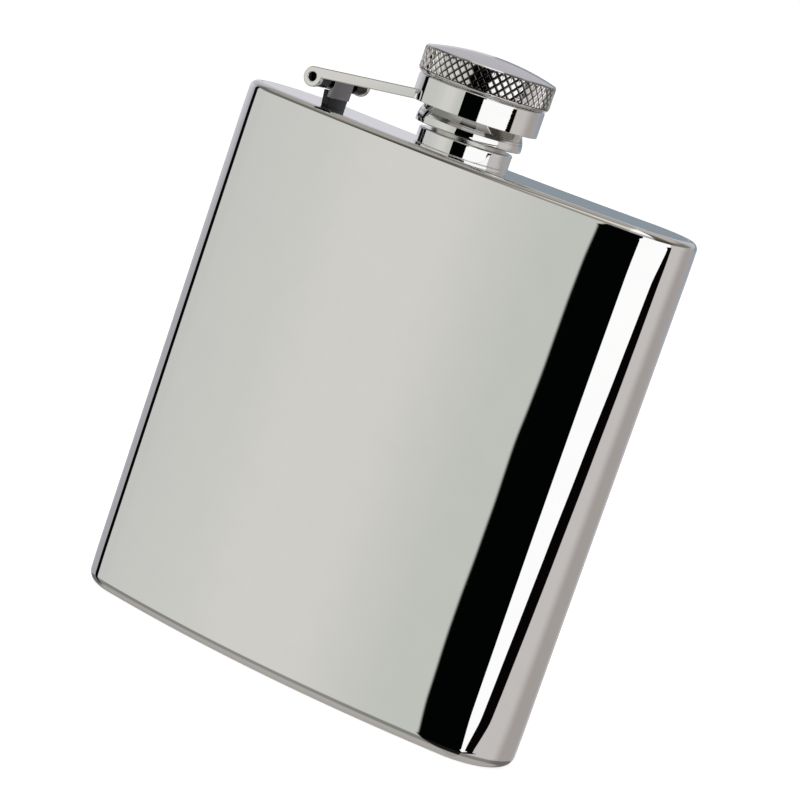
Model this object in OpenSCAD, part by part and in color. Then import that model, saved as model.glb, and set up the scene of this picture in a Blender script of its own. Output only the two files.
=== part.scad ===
// Hip flask: a curved, flat pocket flask of polished stainless steel.
// A wrapped wall closed by a pressed top and a pressed base, a threaded
// spout, and a knurled screw cap held captive in a ring on two hinged arms.
//
// Millimetres. +Z is up, the front faces -Y. The origin is on the base,
// on the line of the spout. All parts are drawn with the cap closed.

/* [Body] */
// Overall width of the body
body_w = 92; // [80:1:120]
// Height of the body, without spout and cap
body_h = 99; // [80:0.5:140]
// Thickness of the body, front to back
body_t = 22; // [20:0.5:30]
// Radius of the bend that makes the back hollow, on the middle line
bend_r = 170; // [110:5:400]
// Thickness of the sheet
sheet = 0.5; // [0.4:0.05:0.8]
// Radius of the rounded rim of the top
top_edge_r = 1.4; // [0.8:0.1:3]
// Radius of the rounded rim of the base
base_edge_r = 2; // [0.8:0.1:4]
// Straight skirt of the top and the base below their rounded rims
skirt_h = 0.6; // [0.2:0.1:2]

/* [Spout] */
// Bore of the spout
spout_bore_d = 11.6; // [9:0.1:14]
// Wall of the spout at the root of its thread
spout_wall = 0.85; // [0.6:0.05:1.5]
// Height of the spout above the top of the body
spout_h = 11; // [8:0.1:12]
// Length of the spout's tail inside the body
spout_tail = 1.2; // [0.6:0.1:3]
// Depth of the thread
thread_depth = 0.4; // [0.2:0.05:0.6]
// Pitch of the thread
thread_pitch = 1.5; // [1:0.1:2.5]
// Wall of the collar around the foot of the spout
collar_wall = 2.05; // [1:0.05:4]
// Height of that collar
collar_h = 3.1; // [1.5:0.1:4]
// Gap between the spout's thread and the cap's, which lets the arms swing
thread_gap = 0.7; // [0.6:0.05:1.2]

/* [Cap] */
// Wall of the threaded sleeve outside the root of its thread
sleeve_wall = 0.75; // [0.6:0.05:1.5]
// How much the sleeve is turned down where the flared collar is pressed on
sleeve_step = 0.3; // [0.2:0.05:0.5]
// Height of the flared collar at the sleeve's lower end
flare_h = 3.3; // [2:0.1:5]
// How far the flared collar stands out beyond the sleeve
flare_out = 0.95; // [0.6:0.05:2]
// Gap between the spout's collar and the flared collar
flare_gap = 0.75; // [0.2:0.05:1]
// Diameter of the knurled head
head_d = 24.3; // [22:0.1:32]
// Height of the knurled band
knurl_h = 4.4; // [3:0.1:8]
// Height of the bevelled lip under the knurled band
head_lip_h = 0.4; // [0.3:0.1:1]
// Rise of the domed top above the knurled band
dome_h = 1.6; // [1:0.1:4]
// Thickness of the sealing disc
liner_t = 1.5; // [0.8:0.1:2]
// Gap between the sealing disc and the spout's rim
liner_gap = 0.1; // [0.05:0.05:0.3]

/* [Ring and arms] */
// Height of the captive ring
ring_h = 4.75; // [3:0.05:8]
// How far the ring stands back from the knurled head
ring_inset = 0.45; // [0.3:0.05:1]
// Running gap between the ring and the cap, around and above
ring_gap = 0.3; // [0.2:0.05:0.5]
// Distance from the spout's axis to the hinge pin
hinge_dx = 28.3; // [26:0.1:36]
// Height of the hinge pin above the top of the body
hinge_dz = 4.7; // [3:0.1:5]
// Thickness of each arm
arm_t = 1; // [0.8:0.1:1.5]
// Height of each arm's strip
arm_h = 1.85; // [1.4:0.05:2.6]
// Distance from the middle to each arm's outer face
arm_out_y = 9.6; // [8.6:0.1:10.8]
// Upward slope of the arms from hinge to ring, in degrees
arm_slope = 7.3; // [4:0.1:9]
// Diameter of each arm's round eye
eye_d = 3.7; // [3.4:0.1:4.2]

/* [Hinge] */
// Diameter of the hinge pin
pin_d = 1.5; // [1.2:0.1:1.8]
// How far the pin's ends lie inside the arms' outer faces
pin_recess = 1.6; // [0.5:0.1:2.5]
// Running gap around the pin in the arms and their knuckles
pin_gap = 0.06; // [0.02:0.01:0.1]
// Outside diameter of the rolled knuckles
knuckle_d = 3.25; // [2.8:0.05:3.6]
// Length of each arm's knuckle
knuckle_l = 3.45; // [2:0.05:4]
// Width of the lug between the two knuckles
lug_w = 7.15; // [5:0.05:8.5]
// How far the lug's leg comes down below the pin
lug_drop = 3; // [2:0.1:3]
// Width of the foot under the lug
foot_w = 6.85; // [5:0.05:8.5]

/* [Hidden] */
eps = 0.01;

// Body
half_t = body_t / 2;
bend_a = asin((body_w - body_t) / 2 / bend_r);
end_x = bend_r * sin(bend_a);
end_y = bend_r - bend_r * cos(bend_a);
seam_top = body_h - top_edge_r - skirt_h;
seam_base = base_edge_r + skirt_h;

// Spout, all radii from the bore outwards
bore_r = spout_bore_d / 2;
root_r = bore_r + spout_wall;
crest_r = root_r + thread_depth;
collar_r = root_r + collar_wall;
rim_z = body_h + spout_h;
collar_top = body_h + collar_h;

// Cap, from the spout's thread outwards and from its collar upwards
nut_crest_r = crest_r + thread_gap;
nut_root_r = nut_crest_r + thread_depth;
sleeve_r = nut_root_r + sleeve_wall;
neck_r = sleeve_r - sleeve_step;
flare_r = sleeve_r + flare_out;
flare_z = collar_top + flare_gap;
liner_z = rim_z + liner_gap;
web_z = liner_z + liner_t;
ring_z = flare_z + flare_h + ring_gap / 2;
ring_top = ring_z + ring_h;
ring_r = head_d / 2 - ring_inset;
ring_bore_r = sleeve_r + ring_gap;
head_z = ring_top + ring_gap / 2;
knurl_z = head_z + head_lip_h;
dome_z = knurl_z + knurl_h;
head_r = head_d / 2;
head_top_r = head_r - 0.25;
dome_r = (head_top_r * head_top_r + dome_h * dome_h) / 2 / dome_h;
socket_z = max(web_z, head_z) + 0.9;

// Threads: where the lowest ridge starts and how many ridges fit above it
spout_thread_z = collar_top + 0.6;
spout_turns = floor((rim_z - 0.4 - spout_thread_z) / thread_pitch);
nut_thread_z = flare_z + 1.2;
nut_turns = floor((liner_z - 0.4 - nut_thread_z) / thread_pitch);

// Hinge
pin_x = -hinge_dx;
pin_z = body_h + hinge_dz;
pin_r = pin_d / 2;
pin_hole_r = pin_r + pin_gap;
knuckle_r = knuckle_d / 2;
strap = knuckle_r - pin_r;
arm_in_y = arm_out_y - arm_t;
eye_r = eye_d / 2;
arm_len = hinge_dx / cos(arm_slope);
// The arm's strip ends just past the point where its inner face meets the ring
arm_end_x = -sqrt(ring_r * ring_r - arm_in_y * arm_in_y) + 0.3;

steel = "gainsboro";
dark_steel = "darkgray";

// Rounded profile of half the thickness: x is the distance from the middle
// line, between -a and a when both sides are wanted, z from z0 to z1.
module band(a, z0, z1, r0, r1, both) {
    x0 = both ? -a : 0;
    union() {
        translate([x0, z0 + r0]) square([a - x0, z1 - z0 - r0 - r1]);
        if (r0 > 0) rim(a, z0, r0, x0, both, 0);
        if (r1 > 0) rim(a, z1 - r1, r1, x0, both, 1);
    }
}

// One rounded end of that profile, r high, rounded down or up
module rim(a, z, r, x0, both, up) {
    intersection() {
        translate([x0, z]) square([a - x0, r]);
        union() {
            translate([a - r, z + (up ? 0 : r)]) circle(r);
            if (both) translate([r - a, z + (up ? 0 : r)]) circle(r);
            translate([both ? r - a : 0, z]) square([both ? 2 * (a - r) : a - r, r]);
        }
    }
}

// One half of the body's plan as a solid, inset by `inset`, with rounded rims:
// a bent run that starts just past the middle, closed by a half-round end
module bent_half(inset, z0, z1, r0, r1) {
    a = half_t - inset;
    run = bend_a + 1;
    intersection() {
        translate([0, bend_r, 0]) rotate([0, 0, bend_a - 90]) union() {
            rotate_extrude(start = -run, angle = run, $fn = 360)
                translate([bend_r, 0]) band(a, z0, z1, r0, r1, true, $fn = 96);
            translate([bend_r, 0, 0]) rotate_extrude(start = 0, angle = 180, $fn = 180)
                band(a, z0, z1, r0, r1, false, $fn = 96);
        }
        translate([0, -body_w, z0 - 1]) cube([body_w, 2 * body_w, z1 - z0 + 2]);
    }
}

module bent_slab(inset, z0, z1, r0, r1) {
    bent_half(inset, z0, z1, r0, r1);
    mirror([1, 0, 0]) bent_half(inset, z0, z1, r0, r1);
}

// Outline points of thread ridges on radius r, standing out by d (in if d < 0)
function ridges(r, d, z0, n) = [for (i = [0 : n - 1]) for (p = [
        [r, z0 + thread_pitch * i],
        [r + d, z0 + thread_pitch * (i + 0.3)],
        [r + d, z0 + thread_pitch * (i + 0.45)],
        [r, z0 + thread_pitch * (i + 0.75)]]) p];

module body_wall() {
    color(steel) difference() {
        bent_slab(0, seam_base, seam_top, 0, 0);
        bent_slab(sheet, seam_base - 1, seam_top + 1, 0, 0);
    }
}

module top_panel() {
    color(steel) difference() {
        bent_slab(0, seam_top, body_h, 0, top_edge_r);
        bent_slab(sheet, seam_top - 1, body_h - sheet, 0, top_edge_r - sheet);
        translate([0, 0, body_h - 2 * sheet]) cylinder(r = root_r, h = 3 * sheet, $fn = 96);
    }
}

module base_panel() {
    color(steel) difference() {
        bent_slab(0, 0, seam_base, base_edge_r, 0);
        bent_slab(sheet, sheet, seam_base + 1, base_edge_r - sheet, 0);
    }
}

module spout() {
    color(steel) rotate_extrude($fn = 96) polygon(concat(
        [[bore_r, body_h - spout_tail], [root_r, body_h - spout_tail]],
        ridges(root_r, thread_depth, spout_thread_z, spout_turns),
        [[root_r, rim_z - 0.2], [root_r - 0.2, rim_z], [bore_r + 0.2, rim_z],
         [bore_r, rim_z - 0.2]]));
}

module spout_collar() {
    color(steel) rotate_extrude($fn = 96) union() {
        translate([root_r, body_h]) square([collar_wall - 0.25, collar_h]);
        translate([root_r, body_h]) square([collar_wall, collar_h - 0.25]);
        translate([collar_r - 0.25, collar_top - 0.25]) circle(0.25, $fn = 32);
        translate([root_r, body_h]) square([collar_wall + 0.2, 0.3]);
    }
}

// Foot: a small stepped bar welded to the top, which the lug's leg stands on
module hinge_foot() {
    color(dark_steel) translate([pin_x, foot_w / 2, 0]) rotate([90, 0, 0])
        linear_extrude(foot_w) polygon([
            [0.1, body_h], [knuckle_r - 0.2, body_h],
            [knuckle_r - 0.2, pin_z - lug_drop], [knuckle_r - strap, pin_z - lug_drop],
            [knuckle_r - strap, pin_z - knuckle_r - 0.15],
            [-0.3, pin_z - knuckle_r - 0.15]]);
}

// Lug: a strap rolled round the pin, with one straight leg
module hinge_lug() {
    color(steel) translate([pin_x, lug_w / 2, pin_z]) rotate([90, 0, 0]) difference() {
        union() {
            cylinder(r = knuckle_r, h = lug_w, $fn = 96);
            translate([knuckle_r - strap, -lug_drop, 0]) cube([strap, lug_drop, lug_w]);
        }
        translate([0, 0, -1]) cylinder(r = pin_r, h = lug_w + 2, $fn = 96);
    }
}

module hinge_pin() {
    pin_l = 2 * (arm_out_y - pin_recess);
    color(dark_steel) translate([pin_x, pin_l / 2, pin_z]) rotate([90, 0, 0])
        cylinder(r = pin_r, h = pin_l, $fn = 96);
}

// One arm: a strip that leaves the top of its eye and ends against the ring
module arm() {
    color(steel) difference() {
        translate([pin_x, arm_in_y, pin_z]) rotate([90, -arm_slope, 0]) translate([0, 0, -arm_t])
            difference() {
                union() {
                    cylinder(r = eye_r, h = arm_t, $fn = 96);
                    translate([0, eye_r - arm_h, 0]) cube([arm_len, arm_h, arm_t]);
                }
                translate([0, 0, -1]) cylinder(r = pin_hole_r, h = arm_t + 2, $fn = 96);
            }
        translate([0, 0, ring_z - 3]) cylinder(r = ring_r, h = ring_h + 6, $fn = 180);
        translate([arm_end_x, 0, ring_z - 3]) cube([head_d, 2 * head_d, 2 * ring_h]);
    }
}

module rear_arm() {
    arm();
}

module front_arm() {
    mirror([0, 1, 0]) arm();
}

// One knuckle: a short tube on the inner face of an arm's eye
module knuckle() {
    color(steel) translate([pin_x, arm_in_y, pin_z]) rotate([90, 0, 0]) difference() {
        cylinder(r = knuckle_r, h = knuckle_l, $fn = 96);
        translate([0, 0, -1]) cylinder(r = pin_hole_r, h = knuckle_l + 2, $fn = 96);
    }
}

module rear_knuckle() {
    knuckle();
}

module front_knuckle() {
    mirror([0, 1, 0]) knuckle();
}

module captive_ring() {
    color(steel) rotate_extrude($fn = 180) polygon([
        [ring_bore_r, ring_z], [ring_r - 0.15, ring_z], [ring_r, ring_z + 0.15],
        [ring_r, ring_top - 0.15], [ring_r - 0.15, ring_top], [ring_bore_r, ring_top]]);
}

// Head: domed and knurled, with a socket below for the threaded sleeve
module cap_head() {
    color("silver") rotate_extrude($fn = 180) difference() {
        union() {
            polygon([[0, head_z], [head_r - 0.5, head_z], [head_r, knurl_z],
                [head_r, dome_z - 0.25], [head_top_r, dome_z], [0, dome_z]]);
            intersection() {
                translate([0, dome_z + dome_h - dome_r]) circle(dome_r, $fn = 360);
                translate([0, dome_z - eps]) square([head_r, dome_h + 1]);
            }
        }
        translate([-1, head_z - 1]) square([sleeve_r + 1, socket_z - head_z + 1]);
    }
}

// Sleeve: the cap's female thread, closed above by a web that backs the liner
module cap_sleeve() {
    color(steel) rotate_extrude($fn = 96) polygon(concat(
        [[0, socket_z], [0, web_z], [nut_root_r, web_z]],
        [for (p = [nut_turns * 4 - 1 : -1 : 0])
            ridges(nut_root_r, -thread_depth, nut_thread_z, nut_turns)[p]],
        [[nut_root_r, flare_z], [neck_r, flare_z], [neck_r, flare_z + flare_h],
         [sleeve_r, flare_z + flare_h], [sleeve_r, socket_z]]));
}

// Flared collar: pressed on the sleeve's end, it keeps the ring on the cap
module flared_collar() {
    low = flare_h * 0.4;
    color(steel) rotate_extrude($fn = 180) polygon([
        [neck_r, flare_z], [flare_r - 0.1, flare_z], [flare_r, flare_z + 0.15],
        [flare_r, flare_z + low * 0.75], [flare_r - 0.1, flare_z + low],
        [sleeve_r + flare_out * 0.65, flare_z + flare_h * 0.7],
        [sleeve_r + 0.15, flare_z + flare_h], [neck_r, flare_z + flare_h]]);
}

module cap_liner() {
    color("dimgray") translate([0, 0, liner_z]) cylinder(r = nut_crest_r - 0.1, h = liner_t, $fn = 96);
}

body_wall();
top_panel();
base_panel();
spout();
spout_collar();
hinge_foot();
hinge_lug();
hinge_pin();
front_arm();
rear_arm();
front_knuckle();
rear_knuckle();
captive_ring();
cap_head();
cap_sleeve();
flared_collar();
cap_liner();
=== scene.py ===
import math

import bmesh
import bpy
from mathutils import Matrix, Vector


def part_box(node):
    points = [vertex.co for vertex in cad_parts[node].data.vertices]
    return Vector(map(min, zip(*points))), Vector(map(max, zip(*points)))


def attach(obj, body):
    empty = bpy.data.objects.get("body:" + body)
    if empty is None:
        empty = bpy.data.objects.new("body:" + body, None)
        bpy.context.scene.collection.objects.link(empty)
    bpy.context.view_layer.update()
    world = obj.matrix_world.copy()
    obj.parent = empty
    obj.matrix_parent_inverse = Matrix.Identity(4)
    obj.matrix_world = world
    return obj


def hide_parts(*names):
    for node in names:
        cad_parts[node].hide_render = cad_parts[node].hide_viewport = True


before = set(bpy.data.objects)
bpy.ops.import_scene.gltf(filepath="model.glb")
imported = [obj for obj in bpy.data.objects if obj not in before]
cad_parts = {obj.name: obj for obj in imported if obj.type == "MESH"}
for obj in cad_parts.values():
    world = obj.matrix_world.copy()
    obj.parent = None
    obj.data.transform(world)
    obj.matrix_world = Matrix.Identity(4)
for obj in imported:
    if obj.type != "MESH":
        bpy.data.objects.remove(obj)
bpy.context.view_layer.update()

# Metres, +Z up, the bulging front faces -Y. Every piece is placed from the box of its node;
# the names below hold what a box can't tell.
MM = 0.001

# Body
BEND_R = 170 * MM          # radius of the bend, on the middle line
SHEET = 0.5 * MM
TOP_EDGE_R = 1.4 * MM      # rounded rim of the top
BASE_EDGE_R = 2.0 * MM     # rounded rim of the base
ROLL_OFF = 6.5 * MM        # height over which polishing has worn the wall in
ROLL_DEPTH = 0.07 * MM     # how far it is worn in at the rims
SEAM_W = 0.16 * MM         # groove between the top's rim and its flat
SEAM_D = 0.1 * MM
SEAM_INSET = 0.35 * MM     # from the rounded rim to the groove

# Cap and spout
KNURLS = 48                # diamonds around the head
KNURL_ROW = 1.74 * MM      # height of one diamond
KNURL_DEPTH = 0.42 * MM
KNURL_BEVEL = 0.24 * MM    # width of a diamond's slanted sides
KNURL_ROOT = 0.3 * MM      # how deep the band's inner side is hidden in the head
HEAD_LIP = 0.4 * MM        # plain lip under the knurl
DOME_H = 1.6 * MM
THREAD_PITCH = 1.5 * MM
THREAD_DEPTH = 0.4 * MM
THREAD_STEPS = 64          # steps in one turn of thread
THREAD_SINK = 0.05 * MM    # how far a thread is let into its wall, so that no gap shows
THREAD_END = 0.4 * MM      # plain wall above a thread
SPOUT_THREAD_FOOT = 0.6 * MM    # plain wall under the spout's thread
SLEEVE_THREAD_FOOT = 1.2 * MM   # plain wall under the sleeve's thread
SPOUT_WALL = 0.85 * MM
SLEEVE_WALL = 0.75 * MM    # from the sleeve's outside to the root of its thread
SLEEVE_STEP = 0.3 * MM     # how much thinner it is where the flared collar sits
RING_GAP = 0.3 * MM        # between the sleeve and the ring in which it turns

# Hinge
ARM_SLOPE = math.radians(7.3)
ARM_H = 1.85 * MM
PIN_GAP = 0.06 * MM

FINE = 1e-6                # verts closer than this are merged
SMOOTH_ANGLE = math.radians(35)     # edges bent more than this are shaded sharp
SOFTEN_ANGLE = math.radians(50)     # edges bent more than this are bevelled


# ---------------------------------------------------------------- helpers

def linear(code):
    """sRGB hex colour as linear RGBA."""
    parts = [int(code[i:i + 2], 16) / 255 for i in (1, 3, 5)]
    return [c / 12.92 if c <= 0.04045 else ((c + 0.055) / 1.055) ** 2.4 for c in parts] + [1]


def size_of(node):
    """Lowest corner, highest corner and middle of a node."""
    low, high = (Vector(corner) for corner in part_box(node))
    return low, high, (low + high) / 2


def radius_of(node):
    """Half the width of a node."""
    low, high, _ = size_of(node)
    return (high.x - low.x) / 2


def mesh_from(bm, name):
    """A mesh made of a bmesh, which is then freed."""
    mesh = bpy.data.meshes.new(name)
    bm.to_mesh(mesh)
    bm.free()
    return mesh


def new_object(name, data):
    """An object of some data, put in the scene."""
    thing = bpy.data.objects.new(name, data)
    bpy.context.scene.collection.objects.link(thing)
    return thing


def finish_piece(bm, name, body, nodes, material):
    """Makes a mesh the shown piece for some nodes, smooth but for its sharp edges."""
    bmesh.ops.remove_doubles(bm, verts=bm.verts, dist=FINE)
    bmesh.ops.delete(bm, geom=[e for e in bm.edges if not e.link_faces], context="EDGES")
    bmesh.ops.delete(bm, geom=[v for v in bm.verts if not v.link_faces], context="VERTS")
    bmesh.ops.recalc_face_normals(bm, faces=bm.faces)
    if bm.calc_volume(signed=True) < 0:
        bmesh.ops.reverse_faces(bm, faces=bm.faces)
    for face in bm.faces:
        face.smooth = True
    for edge in bm.edges:
        edge.smooth = len(edge.link_faces) == 2 and edge.calc_face_angle(0) < SMOOTH_ANGLE
    mesh = mesh_from(bm, name)
    mesh.materials.append(material)
    piece = new_object(name, mesh)
    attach(piece, body)
    if nodes:
        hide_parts(*nodes)
    return piece


def wire(bm, points, closed=False):
    """A chain of edges through 3D points."""
    verts = [bm.verts.new(p) for p in points]
    edges = [bm.edges.new(pair) for pair in zip(verts, verts[1:])]
    if closed:
        edges.append(bm.edges.new((verts[-1], verts[0])))
    return verts, edges


def profile(bm, corners, closed=True, steps=4):
    """A chain in the XZ plane through corners (x, z, rounding radius). Each rounding has a support
    point on both sides, so that flat faces stay flat to the eye."""
    points, rounded = [], []
    count = len(corners)
    for i, (x, z, radius) in enumerate(corners):
        here = Vector((x, 0, z))
        if radius:
            for other in (corners[i - 1], corners[(i + 1) % count]):
                leg = Vector((other[0], 0, other[1])) - here
                points.append(here + leg.normalized() * min(radius * 1.4, leg.length * 0.97))
                if other is corners[i - 1]:
                    rounded.append((len(points), radius))
                    points.append(here)
        else:
            points.append(here)
    verts, edges = wire(bm, points, closed)
    for index, radius in rounded:
        bmesh.ops.bevel(bm, geom=[verts[index]], offset=radius, segments=steps, profile=0.5,
                        affect="VERTICES", material=-1)


def lathe(corners, steps=144, round_steps=4):
    """A solid turned about the Z axis, from corners (radius, height, rounding)."""
    bm = bmesh.new()
    profile(bm, corners, steps=round_steps)
    bmesh.ops.spin(bm, geom=bm.verts[:] + bm.edges[:], axis=(0, 0, 1), cent=(0, 0, 0),
                   steps=steps, angle=math.tau, use_merge=True)
    bmesh.ops.remove_doubles(bm, verts=bm.verts, dist=FINE)
    return bm


def soften(bm, width, segments=2):
    """Bevels every sharp edge."""
    bm.normal_update()
    sharp = [e for e in bm.edges
             if len(e.link_faces) == 2 and e.calc_face_angle(0) > SOFTEN_ANGLE]
    bmesh.ops.bevel(bm, geom=sharp, offset=width, segments=segments, profile=0.5,
                    affect="EDGES", material=-1, clamp_overlap=True)


def plate(outline, thickness, hole=None):
    """A flat plate in the XZ plane, from y = 0 to its thickness, inside a closed outline. A hole is
    round and about the Y axis, given by its radius."""
    bm = bmesh.new()
    wire(bm, outline, closed=True)
    if hole:
        ring = bmesh.ops.create_circle(bm, segments=48, radius=hole)
        bmesh.ops.rotate(bm, verts=ring["verts"], matrix=Matrix.Rotation(math.pi / 2, 3, "X"))
    bmesh.ops.triangle_fill(bm, edges=bm.edges[:], use_beauty=True)
    grown = bmesh.ops.extrude_face_region(bm, geom=bm.faces[:])
    moved = [v for v in grown["geom"] if isinstance(v, bmesh.types.BMVert)]
    bmesh.ops.translate(bm, verts=moved, vec=(0, thickness, 0))
    bmesh.ops.recalc_face_normals(bm, faces=bm.faces)
    return bm


def arc(radius, start, end):
    """Points on an arc about the Y axis, angles in radians from +X towards +Z."""
    steps = 48
    turn = (end - start) / steps
    return [Vector((radius * math.cos(start + turn * i), 0, radius * math.sin(start + turn * i)))
            for i in range(steps + 1)]


# ------------------------------------------------------------------- body

wall_low, wall_high, _ = size_of("body_wall")
top_low, top_high, _ = size_of("top_panel")
HALF_T = -wall_low.y                                    # half the thickness
BEND_A = math.asin((wall_high.x - HALF_T) / BEND_R)     # half the angle of the bend
BODY_H = top_high.z
SPOUT_R = radius_of("spout") - THREAD_DEPTH             # at the root of the thread


def wall_inset(z):
    """How far polishing has worn the wall in at height z."""
    near_rim = max(ROLL_OFF - (BODY_H - TOP_EDGE_R - z), ROLL_OFF - (z - BASE_EDGE_R), 0)
    return ROLL_DEPTH * (near_rim / ROLL_OFF) ** 2


def sweep_round_body(bm):
    """Sweeps a section that stands at the middle of the front once round the bent outline: half
    the front, one end, the back, the other end and the other half of the front."""
    geom = bm.verts[:] + bm.edges[:]
    bend_centre = Vector((0, BEND_R, 0))
    end = Vector((BEND_R * math.sin(BEND_A), BEND_R - BEND_R * math.cos(BEND_A), 0))
    legs = [(bend_centre, BEND_A, 30), (end, math.pi, 64), (bend_centre, -2 * BEND_A, 60),
            (Vector((-end.x, end.y, 0)), math.pi, 64), (bend_centre, BEND_A, 30)]
    for centre, angle, steps in legs:
        swept = bmesh.ops.spin(bm, geom=geom, axis=(0, 0, 1), cent=centre, steps=steps,
                               angle=angle)
        geom = swept["geom_last"]
    bmesh.ops.remove_doubles(bm, verts=bm.verts, dist=FINE)


def front_section(bm, corners, closed=False):
    """A section at the middle of the front, from corners (inset from the wall, height,
    rounding)."""
    placed = [(HALF_T - inset, z, radius) for inset, z, radius in corners]
    profile(bm, placed, closed, steps=8)
    bmesh.ops.rotate(bm, verts=bm.verts, matrix=Matrix.Rotation(-math.pi / 2, 3, "Z"))


def build_body_wall(material):
    """The wrapped wall, with rows close together where it rolls off towards its rims."""
    bm = bmesh.new()
    low, high = wall_low.z, wall_high.z
    near_rim = ROLL_OFF * 1.05
    rows = [low + near_rim * i / 8 for i in range(9)]
    rows += [low + (high - low) * i / 8 for i in range(1, 8)]
    rows += [high - near_rim * i / 8 for i in range(8, -1, -1)]
    rows = sorted(set(rows))
    outer = [(wall_inset(z), z, 0) for z in rows]
    inner = [(SHEET + wall_inset(z), z, 0) for z in (high, low)]
    front_section(bm, outer + inner, closed=True)
    sweep_round_body(bm)
    return finish_piece(bm, "body_wall", "flask", ["body_wall"], material)


def close_panel(bm, levels, hole=None):
    """Fills a panel's two open flats, outside and inside, and lines a round hole through them."""
    rims = []
    for z in levels:
        loop = [e for e in bm.edges if len(e.link_faces) == 1
                and all(abs(v.co.z - z) < FINE for v in e.verts)]
        if hole:
            ring = bmesh.ops.create_circle(bm, segments=96, radius=hole)
            bmesh.ops.translate(bm, verts=ring["verts"], vec=(0, 0, z))
            rims.append(list({e for v in ring["verts"] for e in v.link_edges}))
            loop += rims[-1]
        bmesh.ops.triangle_fill(bm, edges=loop, use_beauty=True)
    if hole:
        bmesh.ops.bridge_loops(bm, edges=rims[0] + rims[1])


def build_top_panel(material):
    """The pressed top: a short skirt, a rounded rim, a fine seam and a flat with a hole."""
    bm = bmesh.new()
    low = top_low.z
    middle = (low + BODY_H - TOP_EDGE_R) / 2
    worn = wall_inset(BODY_H - TOP_EDGE_R)
    seam = worn + TOP_EDGE_R + SEAM_INSET
    flat = seam + SEAM_W + 0.3 * MM
    front_section(bm, [
        (flat, BODY_H, 0),
        (seam + SEAM_W, BODY_H, 0),
        (seam + SEAM_W / 2, BODY_H - SEAM_D, 0),
        (seam, BODY_H, 0),
        (worn, BODY_H, TOP_EDGE_R * 0.98),
        (wall_inset(middle), middle, 0),
        (wall_inset(low), low, 0),
        (wall_inset(low) + SHEET, low, 0),
        (worn + SHEET, BODY_H - SHEET, TOP_EDGE_R - SHEET),
        (flat, BODY_H - SHEET, 0)])
    sweep_round_body(bm)
    close_panel(bm, (BODY_H, BODY_H - SHEET), hole=SPOUT_R)
    return finish_piece(bm, "top_panel", "flask", ["top_panel"], material)


def build_base_panel(material):
    """The pressed base: a short skirt, a rounded rim and a flat."""
    bm = bmesh.new()
    low, high, _ = size_of("base_panel")
    worn = wall_inset(low.z + BASE_EDGE_R)
    flat = worn + BASE_EDGE_R * 1.6
    front_section(bm, [
        (flat, low.z, 0),
        (worn, low.z, BASE_EDGE_R * 0.98),
        (wall_inset(high.z), high.z, 0),
        (wall_inset(high.z) + SHEET, high.z, 0),
        (worn + SHEET, low.z + SHEET, BASE_EDGE_R - SHEET),
        (flat, low.z + SHEET, 0)])
    sweep_round_body(bm)
    close_panel(bm, (low.z, low.z + SHEET))
    return finish_piece(bm, "base_panel", "flask", ["base_panel"], material)


# ---------------------------------------------------------- spout and cap

def add_thread(bm, radius, depth, low, high):
    """A screw thread: a trapezoid section swept up a helix, standing depth out of radius, or into
    it when depth is negative."""
    sink = -THREAD_SINK if depth > 0 else THREAD_SINK
    turns = (high - low) / THREAD_PITCH - 0.8       # 0.8 leaves room for the section's own height
    steps = int(THREAD_STEPS * turns)
    section = [(radius + sink, 0), (radius + depth, 0.3),       # heights in pitches
               (radius + depth, 0.45), (radius + sink, 0.75)]
    start = bmesh.new()
    verts, edges = wire(start, [(r, 0, low + THREAD_PITCH * t) for r, t in section], closed=True)
    bmesh.ops.spin(start, geom=verts + edges, axis=(0, 0, 1), cent=(0, 0, 0),
                   dvec=(0, 0, THREAD_PITCH / THREAD_STEPS), steps=steps,
                   angle=math.tau * steps / THREAD_STEPS)
    bmesh.ops.holes_fill(start, edges=start.edges[:], sides=4)
    bmesh.ops.recalc_face_normals(start, faces=start.faces)
    thread = mesh_from(start, "thread")
    bm.from_mesh(thread)
    bpy.data.meshes.remove(thread)


def build_spout(material):
    """The threaded spout: a tube with a softened rim and a screw thread."""
    low, high, _ = size_of("spout")
    bore = SPOUT_R - SPOUT_WALL
    bm = lathe([(bore, low.z, 0), (SPOUT_R, low.z, 0), (SPOUT_R, high.z, 0.2 * MM),
                (bore, high.z, 0.2 * MM)], steps=96)
    collar_top = size_of("spout_collar")[1].z
    add_thread(bm, SPOUT_R, THREAD_DEPTH, collar_top + SPOUT_THREAD_FOOT, high.z - THREAD_END)
    return finish_piece(bm, "spout", "flask", ["spout"], material)


def build_spout_collar(material):
    """The collar round the spout's foot, with a fine bead where it meets the top."""
    low, high, _ = size_of("spout_collar")
    bead_r = radius_of("spout_collar")
    outer = bead_r - 0.2 * MM
    bead = low.z + 0.3 * MM
    bm = lathe([(SPOUT_R, low.z, 0), (bead_r, low.z, 0), (bead_r, bead, 0.09 * MM),
                (outer + 0.02 * MM, bead, 0), (outer - 0.06 * MM, bead + 0.05 * MM, 0),
                (outer, bead + 0.13 * MM, 0), (outer, high.z, 0.3 * MM), (SPOUT_R, high.z, 0)])
    return finish_piece(bm, "spout_collar", "flask", ["spout_collar"], material)


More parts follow.
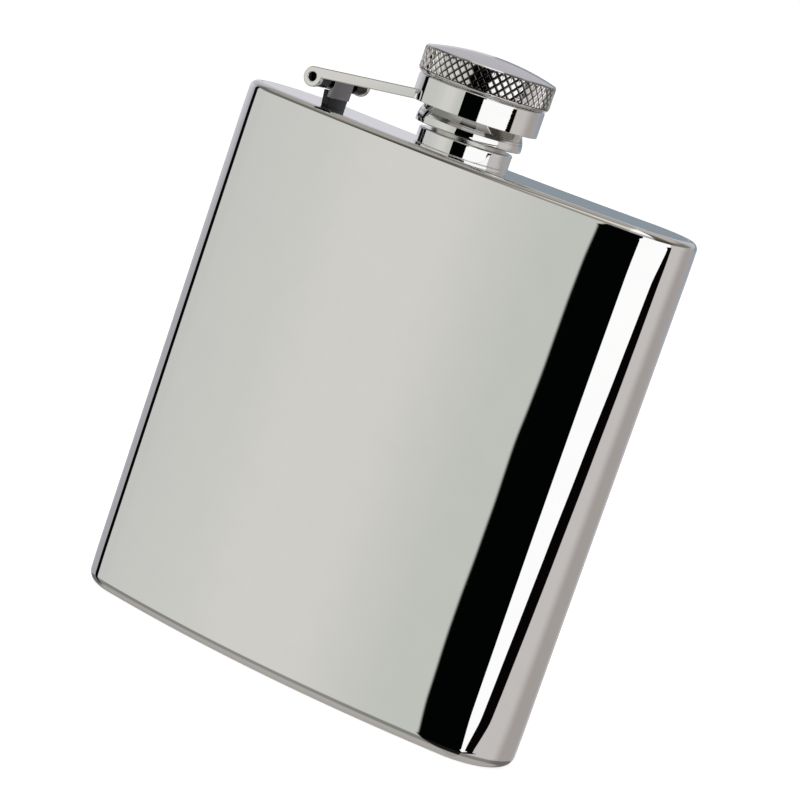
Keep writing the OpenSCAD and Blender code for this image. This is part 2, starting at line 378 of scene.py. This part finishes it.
def build_flared_collar(material):
    """The flared collar on the sleeve's end: a bell above, a rounded band below."""
    low, high, _ = size_of("flared_collar")
    outer = radius_of("flared_collar")
    neck = outer - 1.25 * MM
    top_r = outer - 0.8 * MM
    band = low.z + (high.z - low.z) * 0.4
    bm = lathe([(neck, low.z, 0), (outer - 0.08 * MM, low.z, 0.04 * MM),
                (outer, low.z + 0.3 * MM, 0), (outer, low.z + 0.7 * MM, 0),
                (outer - 0.07 * MM, band, 0.1 * MM),
                (outer - 0.2 * MM, band + 0.5 * MM, 0.3 * MM),
                (outer - 0.4 * MM, band + 1.1 * MM, 0.5 * MM),
                (top_r, high.z, 0), (neck, high.z, 0)],
               steps=180)
    return finish_piece(bm, "flared_collar", "cap", ["flared_collar"], material)


def build_cap_sleeve(material):
    """The cap's threaded sleeve and the web above it."""
    low, high, _ = size_of("cap_sleeve")
    outer = radius_of("cap_sleeve")
    neck = outer - SLEEVE_STEP
    root = outer - SLEEVE_WALL
    web = size_of("cap_liner")[1].z
    step = size_of("flared_collar")[1].z
    bm = lathe([(0, high.z, 0), (0, web, 0), (root, web, 0), (root, low.z, 0), (neck, low.z, 0),
                (neck, step, 0), (outer, step, 0), (outer, high.z, 0)], steps=96)
    liner_low = size_of("cap_liner")[0].z
    add_thread(bm, root, -THREAD_DEPTH, low.z + SLEEVE_THREAD_FOOT, liner_low - THREAD_END)
    return finish_piece(bm, "cap_sleeve", "cap", ["cap_sleeve"], material)


def build_cap_liner(material):
    """The soft sealing disc."""
    low, high, _ = size_of("cap_liner")
    radius = radius_of("cap_liner")
    bm = lathe([(0, low.z, 0), (radius, low.z, 0.2 * MM), (radius, high.z, 0),
                (0, high.z, 0)], steps=64)
    return finish_piece(bm, "cap_liner", "cap", ["cap_liner"], material)


def build_ring(material):
    """The smooth ring in which the cap turns."""
    low, high, _ = size_of("captive_ring")
    outer = radius_of("captive_ring")
    bore = radius_of("cap_sleeve") + RING_GAP
    bm = lathe([(bore, low.z, 0), (outer, low.z, 0.08 * MM), (outer, high.z, 0.35 * MM),
                (bore, high.z, 0)], steps=180, round_steps=6)
    return finish_piece(bm, "captive_ring", "arm", ["captive_ring"], material)


def build_cap_head(material):
    """The head without its knurl: a bevelled lip, the core behind the knurl and the dome."""
    low, high, _ = size_of("cap_head")
    outer = radius_of("cap_head")
    socket = radius_of("cap_sleeve")
    rim = high.z - DOME_H
    core = outer - KNURL_DEPTH - 0.02 * MM      # just inside the knurl's grooves
    top_r = outer - 0.25 * MM
    dome_r = (top_r ** 2 + DOME_H ** 2) / (2 * DOME_H)
    start = math.asin(top_r / dome_r)
    dome = [(dome_r * math.sin(start * (1 - i / 16)),
             high.z - dome_r + dome_r * math.cos(start * (1 - i / 16)), 0) for i in range(17)]
    socket_z = size_of("cap_sleeve")[1].z
    bm = lathe([(0, socket_z, 0), (socket, socket_z, 0), (socket, low.z, 0),
                (outer - 0.5 * MM, low.z, 0.06 * MM), (outer - 0.06 * MM, low.z + HEAD_LIP, 0),
                (outer - 0.06 * MM, low.z + HEAD_LIP + 0.08 * MM, 0),
                (core, low.z + HEAD_LIP + 0.16 * MM, 0), (core, rim - 0.3 * MM, 0),
                (outer - 0.14 * MM, rim - 0.18 * MM, 0)] + dome, steps=180)
    return finish_piece(bm, "cap_head", "cap", ["cap_head"], material)


def build_knurl(material):
    """The diamond knurl: a grid round the head, turned into diamonds that are raised one by one."""
    low, high, _ = size_of("cap_head")
    outer = radius_of("cap_head")
    base = outer - KNURL_DEPTH
    bottom, top = low.z + HEAD_LIP + 0.05 * MM, high.z - DOME_H - 0.1 * MM
    bm = bmesh.new()
    rows = 4
    start = bottom - KNURL_ROW * 0.55       # the band's edges cut through diamonds
    column, edges = wire(bm, [(base, 0, start + KNURL_ROW * i) for i in range(rows + 1)])
    bmesh.ops.spin(bm, geom=column + edges, axis=(0, 0, 1), cent=(0, 0, 0), steps=KNURLS,
                   angle=math.tau, use_merge=True)
    bmesh.ops.remove_doubles(bm, verts=bm.verts, dist=FINE)
    grid = bm.edges[:]
    bmesh.ops.poke(bm, faces=bm.faces[:])
    # The centres of the poked faces lie inside the cylinder: push them out
    for vert in bm.verts:
        flat = Vector((vert.co.x, vert.co.y, 0))
        vert.co += flat.normalized() * (base - flat.length)
    inner = [e for e in grid if e.is_valid and len(e.link_faces) == 2]
    bmesh.ops.dissolve_edges(bm, edges=inner, use_verts=False)
    for z, normal in ((bottom, (0, 0, -1)), (top, (0, 0, 1))):
        bmesh.ops.bisect_plane(bm, geom=bm.verts[:] + bm.edges[:] + bm.faces[:], dist=FINE,
                               plane_co=(0, 0, z), plane_no=normal, clear_outer=True)
    bmesh.ops.recalc_face_normals(bm, faces=bm.faces)
    inward = [f for f in bm.faces if f.normal.xy.dot(f.calc_center_median().xy) < 0]
    bmesh.ops.reverse_faces(bm, faces=inward)
    bm.normal_update()
    bmesh.ops.inset_individual(bm, faces=bm.faces[:], thickness=KNURL_BEVEL, depth=KNURL_DEPTH,
                               use_even_offset=True)
    # Close the band into a ring, with its inner side hidden in the head's core
    rims = [e for e in bm.edges if len(e.link_faces) == 1]
    grown = bmesh.ops.extrude_edge_only(bm, edges=rims)
    hidden = [v for v in grown["geom"] if isinstance(v, bmesh.types.BMVert)]
    shrink = 1 - KNURL_ROOT / base
    bmesh.ops.scale(bm, verts=hidden, vec=(shrink, shrink, 1))
    bmesh.ops.bridge_loops(bm, edges=[e for e in bm.edges if len(e.link_faces) == 1])
    return finish_piece(bm, "cap_knurl", "cap", [], material)


# ------------------------------------------------------------------ hinge

pin_low, pin_high, pin_mid = size_of("hinge_pin")
PIN_R = (pin_high.x - pin_low.x) / 2
PIVOT = Vector((pin_mid.x, 0, pin_mid.z))


def tube_along_y(outer, bore, y0, y1, rounding):
    """A short tube about the hinge pin, from y0 to y1."""
    bm = lathe([(bore, y0, rounding), (outer, y0, rounding), (outer, y1, rounding),
                (bore, y1, rounding)], steps=64, round_steps=3)
    bmesh.ops.rotate(bm, verts=bm.verts, matrix=Matrix.Rotation(-math.pi / 2, 3, "X"))
    bmesh.ops.translate(bm, verts=bm.verts, vec=PIVOT)
    return bm


def build_arm(name, material):
    """One arm: a strip that leaves the top of its eye and slopes up to the ring."""
    low, high, _ = size_of(name)
    eye_r = pin_mid.x - low.x
    thickness = high.y - low.y
    under = eye_r - ARM_H
    length = (high.x - pin_mid.x) / math.cos(ARM_SLOPE) + 0.2 * MM      # cut off upright below
    strip_start = math.asin(under / eye_r)
    outline = arc(eye_r, math.pi / 2, math.tau + strip_start)
    outline += [Vector((length, 0, under)), Vector((length, 0, eye_r))]
    bm = plate(outline, thickness, hole=PIN_R + PIN_GAP)
    soften(bm, 0.18 * MM, segments=3)
    bmesh.ops.rotate(bm, verts=bm.verts, matrix=Matrix.Rotation(-ARM_SLOPE, 3, "Y"))
    bmesh.ops.translate(bm, verts=bm.verts, vec=(PIVOT.x, low.y, PIVOT.z))
    bmesh.ops.bisect_plane(bm, geom=bm.verts[:] + bm.edges[:] + bm.faces[:], dist=FINE,
                           plane_co=(high.x, 0, 0), plane_no=(1, 0, 0), clear_outer=True)
    bmesh.ops.holes_fill(bm, edges=bm.edges[:], sides=0)
    return finish_piece(bm, name, "arm", [name], material)


def build_knuckle(name, material):
    """One knuckle: a short tube on the inner face of an arm's eye."""
    low, high, _ = size_of(name)
    bm = tube_along_y((high.x - low.x) / 2, PIN_R + PIN_GAP, low.y, high.y, 0.1 * MM)
    return finish_piece(bm, name, "arm", [name], material)


def build_pin(material):
    """The pin, with softened ends."""
    bm = tube_along_y(PIN_R, 0, pin_low.y, pin_high.y, 0)
    soften(bm, 0.12 * MM)
    return finish_piece(bm, "hinge_pin", "flask", ["hinge_pin"], material)


def build_lug(material):
    """The lug: a strap rolled round the pin, with one straight leg."""
    low, high, _ = size_of("hinge_lug")
    outer = (high.x - low.x) / 2
    drop = low.z - PIVOT.z
    leg_inner = PIN_R
    meet = -math.acos(leg_inner / outer)        # where the roll meets the leg's inner face
    outline = arc(outer, 0, math.tau + meet)
    outline += [Vector((leg_inner, 0, drop)), Vector((outer, 0, drop))]
    bm = plate(outline, high.y - low.y, hole=PIN_R)
    soften(bm, 0.14 * MM, segments=3)
    bmesh.ops.translate(bm, verts=bm.verts, vec=(PIVOT.x, low.y, PIVOT.z))
    return finish_piece(bm, "hinge_lug", "flask", ["hinge_lug"], material)


def build_foot(material):
    """The stepped bar under the lug, welded to the top."""
    low, high, _ = size_of("hinge_foot")
    step_z = size_of("hinge_lug")[0].z - PIVOT.z
    leg = PIN_R         # the step starts at the inner face of the lug's leg
    base, top = low.z - PIVOT.z, high.z - PIVOT.z
    left, right = low.x - PIVOT.x, high.x - PIVOT.x
    outline = [Vector((x, 0, z)) for x, z in (
        (left + 0.4 * MM, base), (right, base), (right, step_z),
        (leg, step_z), (leg, top), (left, top))]
    bm = plate(outline, high.y - low.y)
    soften(bm, 0.1 * MM)
    bmesh.ops.translate(bm, verts=bm.verts, vec=(PIVOT.x, low.y, PIVOT.z))
    return finish_piece(bm, "hinge_foot", "flask", ["hinge_foot"], material)


# -------------------------------------------------------------- materials

def add(tree, kind, links=(), **settings):
    """Adds a shader node, sets its properties or inputs by name, and links sockets into it."""
    shader = tree.nodes.new(kind)
    for key, value in settings.items():
        name = key.replace("_", " ")
        if hasattr(shader, key):
            setattr(shader, key, value)
        else:
            match = [s for s in shader.inputs if s.name.lower() == name.lower() and s.enabled]
            match[0].default_value = value
    for source, target in links:
        tree.links.new(source, shader.inputs[target])
    return shader


def per_metre(millimetres):
    """Texture scale for features of a given size."""
    return 1 / (millimetres * MM)


def new_material(name):
    """An empty material, its tree and the object's own coordinates in metres."""
    material = bpy.data.materials.new(name)
    material.use_nodes = True
    tree = material.node_tree
    tree.nodes.clear()
    return material, tree, add(tree, "ShaderNodeTexCoord").outputs["Object"]


def mixed(tree, factor, dark, light):
    """The colour between two hex colours."""
    shade = add(tree, "ShaderNodeMix", [(factor, "Factor")], data_type="RGBA")
    shade.inputs[6].default_value = linear(dark)
    shade.inputs[7].default_value = linear(light)
    return shade.outputs[2]


def metal(name, colours, roughness, texture):
    """A metal between two colours and two roughnesses. texture(tree, coords) gives where it is
    rougher, where it is lighter, its height, and how many mm deep that height is."""
    material, tree, coords = new_material(name)
    mask, tint, height, depth = texture(tree, coords)
    rough = add(tree, "ShaderNodeMapRange", [(mask, "Value")],
                To_Min=roughness[0], To_Max=roughness[1])
    bump = add(tree, "ShaderNodeBump", [(height, "Height")], Strength=1.0, Distance=depth * MM)
    surface = add(tree, "ShaderNodeBsdfPrincipled",
                  [(rough.outputs["Result"], "Roughness"),
                   (mixed(tree, tint, *colours), "Base Color"),
                   (bump.outputs["Normal"], "Normal")], Metallic=1.0)
    add(tree, "ShaderNodeOutputMaterial", [(surface.outputs["BSDF"], "Surface")])
    return material


def noise(tree, coords, feature, detail=2.0, stretch=(1, 1, 1)):
    """Soft noise with features of a size in mm, stretched along the axes."""
    mapping = add(tree, "ShaderNodeMapping", [(coords, "Vector")], Scale=stretch)
    return add(tree, "ShaderNodeTexNoise", [(mapping.outputs["Vector"], "Vector")],
               Scale=per_metre(feature), Detail=detail).outputs["Fac"]


def mirror_sheet(tree, coords):
    """Mirror polish: slow waves in the sheet, cloudy haze and hair-fine lines up the wall."""
    waves = noise(tree, coords, 26, detail=1.0)
    haze = noise(tree, coords, 5, detail=3.0)
    lines = noise(tree, coords, 0.5, detail=2.0, stretch=(1, 1, 0.03))
    mask = add(tree, "ShaderNodeMath", [(haze, 0), (lines, 1)], operation="MULTIPLY")
    return mask.outputs[0], haze, waves, 0.05


def mirror_turned(tree, coords):
    """Turned and polished: faint rings round the axis under a mirror finish."""
    rings = noise(tree, coords, 0.35, detail=2.0, stretch=(0.02, 0.02, 1))
    haze = noise(tree, coords, 3, detail=2.0)
    return haze, rings, rings, 0.0015


def burnished(tree, coords):
    """Polished dome: a fine grain and faint haze."""
    grain = noise(tree, coords, 0.35, detail=3.0)
    haze = noise(tree, coords, 1.6, detail=2.0)
    return grain, haze, grain, 0.006


def knurl_skin(tree, coords):
    """Rolled knurl: bright flats, and painted shade that darkens the grooves the deeper they go."""
    grain = noise(tree, coords, 0.35, detail=3.0)
    flat = add(tree, "ShaderNodeVectorMath", [(coords, 0)], operation="MULTIPLY")
    flat.inputs[1].default_value = (1, 1, 0)
    length = add(tree, "ShaderNodeVectorMath", [(flat.outputs["Vector"], 0)], operation="LENGTH")
    outer = radius_of("cap_head")
    # Painted shade: the colour is dark at the grooves' roots and light on the flats
    shade = add(tree, "ShaderNodeMapRange", [(length.outputs["Value"], "Value")],
                From_Min=outer - KNURL_DEPTH, From_Max=outer - 0.04 * MM)
    return grain, shade.outputs["Result"], grain, 0.008


def lathe_marks(tree, coords):
    """Plain turned steel: even tool marks round the axis."""
    rings = noise(tree, coords, 0.22, detail=3.0, stretch=(0.03, 0.03, 1))
    haze = noise(tree, coords, 2, detail=2.0)
    return rings, haze, rings, 0.012


def tumbled(tree, coords):
    """Semi-polished strip: fine scratches along its length and soft patches."""
    scratches = noise(tree, coords, 0.3, detail=3.0, stretch=(0.15, 1, 1))
    patches = noise(tree, coords, 1.4, detail=2.0)
    return patches, scratches, scratches, 0.01


def soft_disc(name):
    """Silicone: pale, matte, with a faint grain."""
    material, tree, coords = new_material(name)
    grain = noise(tree, coords, 0.4, detail=3.0)
    bump = add(tree, "ShaderNodeBump", [(grain, "Height")], Strength=0.6, Distance=0.02 * MM)
    surface = add(tree, "ShaderNodeBsdfPrincipled",
                  [(mixed(tree, grain, "#c9c5bb", "#dedbd2"), "Base Color"),
                   (bump.outputs["Normal"], "Normal")], Roughness=0.55)
    add(tree, "ShaderNodeOutputMaterial", [(surface.outputs["BSDF"], "Surface")])
    return material


# ----------------------------------------------------------------- studio

CAMERA_AZ = 25.75          # degrees to the right of the front
CAMERA_EL = 9.63           # degrees above the flask's middle
CAMERA_ROLL = 18.95        # lean of the camera, so that the flask leans to the right
CAMERA_DISTANCE = 0.5216
CAMERA_LENS = 130.2
CAMERA_SHIFT = (0.036, 0.021)

# The studio as seen in the metal, by the angle round the object from the camera's own direction,
# positive to the camera's right: dark flags between soft white and grey panels. Each row is one
# panel's left edge at the height of the flask's rim and at its foot (degrees), how far that edge
# bows out half way between them, how soft it is (degrees), and the colour from there on.
RIM_DOWN, FOOT_DOWN = -5.0, -15.0       # how far below the horizon the flask's rim and foot look
PANELS = [
    # rim, foot, bow, soft, colour
    (-157, -157, 0, 20, "#a5a4a8"),
    (-124, -124, 0, 1.0, "#040404"),
    (-112, -112, 0, 1.0, "#c4c5c1"),
    (-78, -78, 0, 24, "#cacbc6"),
    (-64, -64, 0, 14, "#d2d0cb"),
    (-41, -41, 0, 18, "#c1c4bd"),
    (-28.1, -28.3, -0.2, 0.5, "#020303"),
    (4.8, 8.2, -2.1, 0.5, "#ffffff"),
    (56, 26, 0, 0.7, "#060404"),
    (70, 45, 4.5, 1.0, "#c2bebc"),
    (100, 90, 0, 26, "#a29c99"),
    (150, 150, 0, 20, "#b8b7bc")]
# What hangs overhead, seen only in rounded rims: left edge, softness, colour from there on.
OVERHEAD = [
    (-180, 1, "#a19e97"),
    (-70, 10, "#716d67"),
    (-50, 14, "#dad5cc"),
    (-18, 8, "#ffffff"),
    (35, 8, "#625e58"),
    (80, 20, "#b5afa6")]
# The far side of the studio, mirrored by the flat of the top: grey, but low down a paler grey to
# the left of the middle and a blue grey to its right.
BEHIND = "#b8b7bc"
BEHIND_LOW_LEFT, BEHIND_LOW_RIGHT = "#cdccd2", "#87919a"
RIM_LINE, FOOT_LINE = "#1d1b19", "#211f1d"      # dark edges of the overhead and of the table below
UNDERFOOT = "#b9b4ae"
# Where one of these gives way to the next, in degrees above the horizon or round the object, and
# how strongly the dark edges and what lies underfoot show.
OVERHEAD_FROM = (16, 21)
RIM_LINE_END = (36, 52)
BEHIND_ROUND = (120, 150)
BEHIND_FROM = (-10, 0)
BEHIND_END = (38, 48)
BEHIND_LOW_END = (9, 12)
MIDDLE = (-1, 1)
FOOT_LINE_FROM = (-21, -18.5)
UNDERFOOT_FROM = (-46, -36)
LINE_STRENGTH = 0.62
UNDERFOOT_STRENGTH = 0.7
ROOM_BRIGHTNESS = 1.08
FALL_LIMITS = (-0.6, 1.6)       # how far past rim and foot the panels' edges go on leaning

FLOOR_RADIUS = 60               # metres, wide enough for its rim to be lost in the backdrop
FLOOR_TONE = (0.86, 0.9)
FLOOR_GLOW = 0.72
LAMP_AT, LAMP_AIM = (-0.25, -0.35, 0.75), (0, 0, 0.05)
LAMP_SIZE = (0.5, 0.4)
LAMP_POWER = 3.0


def build_world():
    """The studio's panels and flags as a background that only reflections and soft light see."""
    world = bpy.data.worlds.new("studio")
    bpy.context.scene.world = world
    world.use_nodes = True
    tree = world.node_tree
    tree.nodes.clear()

    def maths(operation, *values):
        """A maths node on sockets and plain numbers."""
        shader = add(tree, "ShaderNodeMath", operation=operation)
        for slot, value in enumerate(values):
            if isinstance(value, (int, float)):
                shader.inputs[slot].default_value = value
            else:
                tree.links.new(value, shader.inputs[slot])
        return shader.outputs[0]

    def between(value, start, end):
        """0 below start, 1 above end, smooth between."""
        step = add(tree, "ShaderNodeMapRange", [(value, "Value")], interpolation_type="SMOOTHSTEP",
                   From_Min=start, From_Max=end)
        return step.outputs["Result"]

    def below(value, start, end):
        """1 below start, 0 above end, smooth between."""
        return maths("SUBTRACT", 1.0, between(value, start, end))

    def plain(code):
        """One colour."""
        shader = add(tree, "ShaderNodeRGB")
        shader.outputs[0].default_value = linear(code)
        return shader.outputs[0]

    def blend(factor, under, over):
        """A colour, given as a hex code or a socket, laid over another."""
        shader = add(tree, "ShaderNodeMix", [(factor, "Factor")], data_type="RGBA")
        tree.links.new(under, shader.inputs[6])
        if isinstance(over, str):
            shader.inputs[7].default_value = linear(over)
        else:
            tree.links.new(over, shader.inputs[7])
        return shader.outputs[2]

    direction = add(tree, "ShaderNodeTexCoord").outputs["Generated"]
    turned = add(tree, "ShaderNodeVectorRotate", [(direction, "Vector")], rotation_type="Z_AXIS",
                 Angle=math.radians(-CAMERA_AZ))
    split = add(tree, "ShaderNodeSeparateXYZ", [(turned.outputs["Vector"], "Vector")])
    around = maths("MULTIPLY", maths("ARCTAN2", split.outputs["X"],
                                     maths("MULTIPLY", split.outputs["Y"], -1.0)), 180 / math.pi)
    up = maths("MULTIPLY", maths("ARCSINE", split.outputs["Z"]), 180 / math.pi)
    # 0 at the height of the rim, 1 at the foot, a little beyond at both ends
    fall = maths("MAXIMUM", FALL_LIMITS[0], maths("MINIMUM", FALL_LIMITS[1], maths(
        "DIVIDE", maths("SUBTRACT", up, RIM_DOWN), FOOT_DOWN - RIM_DOWN)))

    colour = plain(BEHIND)
    for rim, foot, bow, soft, code in PANELS:
        lean = maths("ADD", rim, maths("MULTIPLY", fall, foot - rim)) if foot != rim else rim
        if bow:
            arch = maths("MULTIPLY", fall, maths("SUBTRACT", 1.0, fall))    # 1/4 half way down
            lean = maths("ADD", lean, maths("MULTIPLY", arch, 4.0 * bow))
        colour = blend(between(maths("SUBTRACT", around, lean), -soft / 2, soft / 2), colour, code)
    ceiling = plain(OVERHEAD[0][2])
    for edge, soft, code in OVERHEAD[1:]:
        ceiling = blend(between(around, edge - soft / 2, edge + soft / 2), ceiling, code)
    ceiling = blend(maths("MULTIPLY", LINE_STRENGTH, below(up, *RIM_LINE_END)), ceiling, RIM_LINE)
    colour = blend(between(up, *OVERHEAD_FROM), colour, ceiling)
    away = maths("MULTIPLY", between(maths("ABSOLUTE", around), *BEHIND_ROUND),
                 between(up, *BEHIND_FROM))
    colour = blend(maths("MULTIPLY", away, below(up, *BEHIND_END)), colour, BEHIND)
    low = maths("MULTIPLY", away, below(up, *BEHIND_LOW_END))
    colour = blend(maths("MULTIPLY", low, below(around, *MIDDLE)), colour, BEHIND_LOW_LEFT)
    colour = blend(maths("MULTIPLY", low, between(around, *MIDDLE)), colour, BEHIND_LOW_RIGHT)
    colour = blend(maths("MULTIPLY", LINE_STRENGTH, below(up, *FOOT_LINE_FROM)), colour, FOOT_LINE)
    colour = blend(maths("MULTIPLY", UNDERFOOT_STRENGTH, below(up, *UNDERFOOT_FROM)), colour,
                   UNDERFOOT)
    room = add(tree, "ShaderNodeBackground", [(colour, "Color")], Strength=ROOM_BRIGHTNESS)
    backdrop = add(tree, "ShaderNodeBackground", Color=(1, 1, 1, 1), Strength=1.0)
    seen = add(tree, "ShaderNodeLightPath").outputs["Is Camera Ray"]
    mix = add(tree, "ShaderNodeMixShader", [(seen, "Fac")])
    tree.links.new(room.outputs["Background"], mix.inputs[1])
    tree.links.new(backdrop.outputs["Background"], mix.inputs[2])
    add(tree, "ShaderNodeOutputWorld", [(mix.outputs["Shader"], "Surface")])


def build_floor():
    """A wide white floor, bright enough to merge with the backdrop."""
    bm = bmesh.new()
    bmesh.ops.create_circle(bm, segments=96, radius=FLOOR_RADIUS, cap_ends=True)
    mesh = mesh_from(bm, "floor")
    floor = new_object("floor", mesh)
    material, tree, coords = new_material("white_floor")
    tone = add(tree, "ShaderNodeMapRange", [(noise(tree, coords, 2.0), "Value")],
               To_Min=FLOOR_TONE[0], To_Max=FLOOR_TONE[1])
    matte = add(tree, "ShaderNodeBsdfDiffuse", [(tone.outputs["Result"], "Color")])
    glow = add(tree, "ShaderNodeEmission", Color=(1, 1, 1, 1), Strength=FLOOR_GLOW)
    both = add(tree, "ShaderNodeAddShader", [(matte.outputs["BSDF"], 0),
                                             (glow.outputs["Emission"], 1)])
    add(tree, "ShaderNodeOutputMaterial", [(both.outputs["Shader"], "Surface")])
    mesh.materials.append(material)
    floor.visible_glossy = False        # the metal reflects the studio's panels, not this floor


def build_lights():
    """One large soft lamp overhead and to the front left, out of the metal's sight."""
    data = bpy.data.lights.new("softbox", "AREA")
    data.shape = "RECTANGLE"
    data.size, data.size_y = LAMP_SIZE
    data.energy = LAMP_POWER
    lamp = new_object("softbox", data)
    lamp.location = LAMP_AT
    lamp.rotation_euler = (Vector(LAMP_AIM) - lamp.location).to_track_quat("-Z", "Y").to_euler()
    lamp.visible_glossy = False


def build_camera():
    """A long lens from the front right and slightly above, rolled so that the flask leans."""
    aim = Vector((0, 0, BODY_H / 2))
    az, el, roll = (math.radians(a) for a in (CAMERA_AZ, CAMERA_EL, CAMERA_ROLL))
    back = Vector((math.sin(az) * math.cos(el), -math.cos(az) * math.cos(el), math.sin(el)))
    right = Vector((math.cos(az), math.sin(az), 0))
    up = back.cross(right)
    across = right * math.cos(roll) + up * math.sin(roll)
    along = up * math.cos(roll) - right * math.sin(roll)
    data = bpy.data.cameras.new("camera")
    data.lens = CAMERA_LENS
    data.shift_x, data.shift_y = CAMERA_SHIFT
    data.clip_start, data.clip_end = 0.01, 200
    camera = new_object("camera", data)
    turn = Matrix((across, along, back)).transposed()
    camera.matrix_world = Matrix.Translation(aim + back * CAMERA_DISTANCE) @ turn.to_4x4()
    bpy.context.scene.camera = camera


# ------------------------------------------------------------------- build

# Body sheet: sharp long reflections that swim a little with the sheet's waves
polished_sheet = metal("mirror_polished_sheet", ("#f1f1f1", "#f5f5f4"), (0.008, 0.03),
                       mirror_sheet)
# Collars, ring and arms: crisp small highlights, a shade softer than the sheet
polished_trim = metal("mirror_polished_trim", ("#efefef", "#f5f5f4"), (0.01, 0.035),
                      mirror_turned)
# Knurl: bright diamonds, with painted shade making the grooves nearly black
knurled = metal("knurled_steel", ("#1c1a19", "#f6f5f4"), (0.03, 0.1), knurl_skin)
# Head and dome: soft, slightly blurred reflections
domed = metal("burnished_dome", ("#e2e1e0", "#f3f2f1"), (0.05, 0.14), burnished)
# Spout and sleeve, seen when the cap is open: warm, brushed round the axis
turned_steel = metal("turned_steel", ("#c9c6c1", "#dedbd6"), (0.18, 0.34), lathe_marks)
# Lug: a mid grey that stands out from the parts round it, which are painted dark as shade
hinge_steel = metal("hinge_steel", ("#7c7d83", "#98999d"), (0.1, 0.24), tumbled)
# Foot, knuckles and pin: dull steel painted dark as the shade that falls under the lug and between
# the arms
hinge_steel_painted_shade = metal("hinge_steel_painted_shade", ("#2b2b2d", "#454548"), (0.2, 0.36), tumbled)
# Seal: the one pale, matte thing in the cap
liner = soft_disc("silicone_liner")

build_body_wall(polished_sheet)
build_top_panel(polished_sheet)
build_base_panel(polished_sheet)
build_spout(turned_steel)
build_spout_collar(polished_trim)
build_flared_collar(polished_trim)
build_cap_sleeve(turned_steel)
build_cap_liner(liner)
build_ring(polished_trim)
build_cap_head(domed)
build_knurl(knurled)
build_arm("front_arm", polished_trim)
build_arm("rear_arm", polished_trim)
build_knuckle("front_knuckle", hinge_steel_painted_shade)
build_knuckle("rear_knuckle", hinge_steel_painted_shade)
build_pin(hinge_steel_painted_shade)
build_lug(hinge_steel)
build_foot(hinge_steel_painted_shade)

build_world()
build_floor()
build_lights()
build_camera()
# No film curve, so that the panels keep the colours given above
bpy.context.scene.view_settings.view_transform = "Standard"
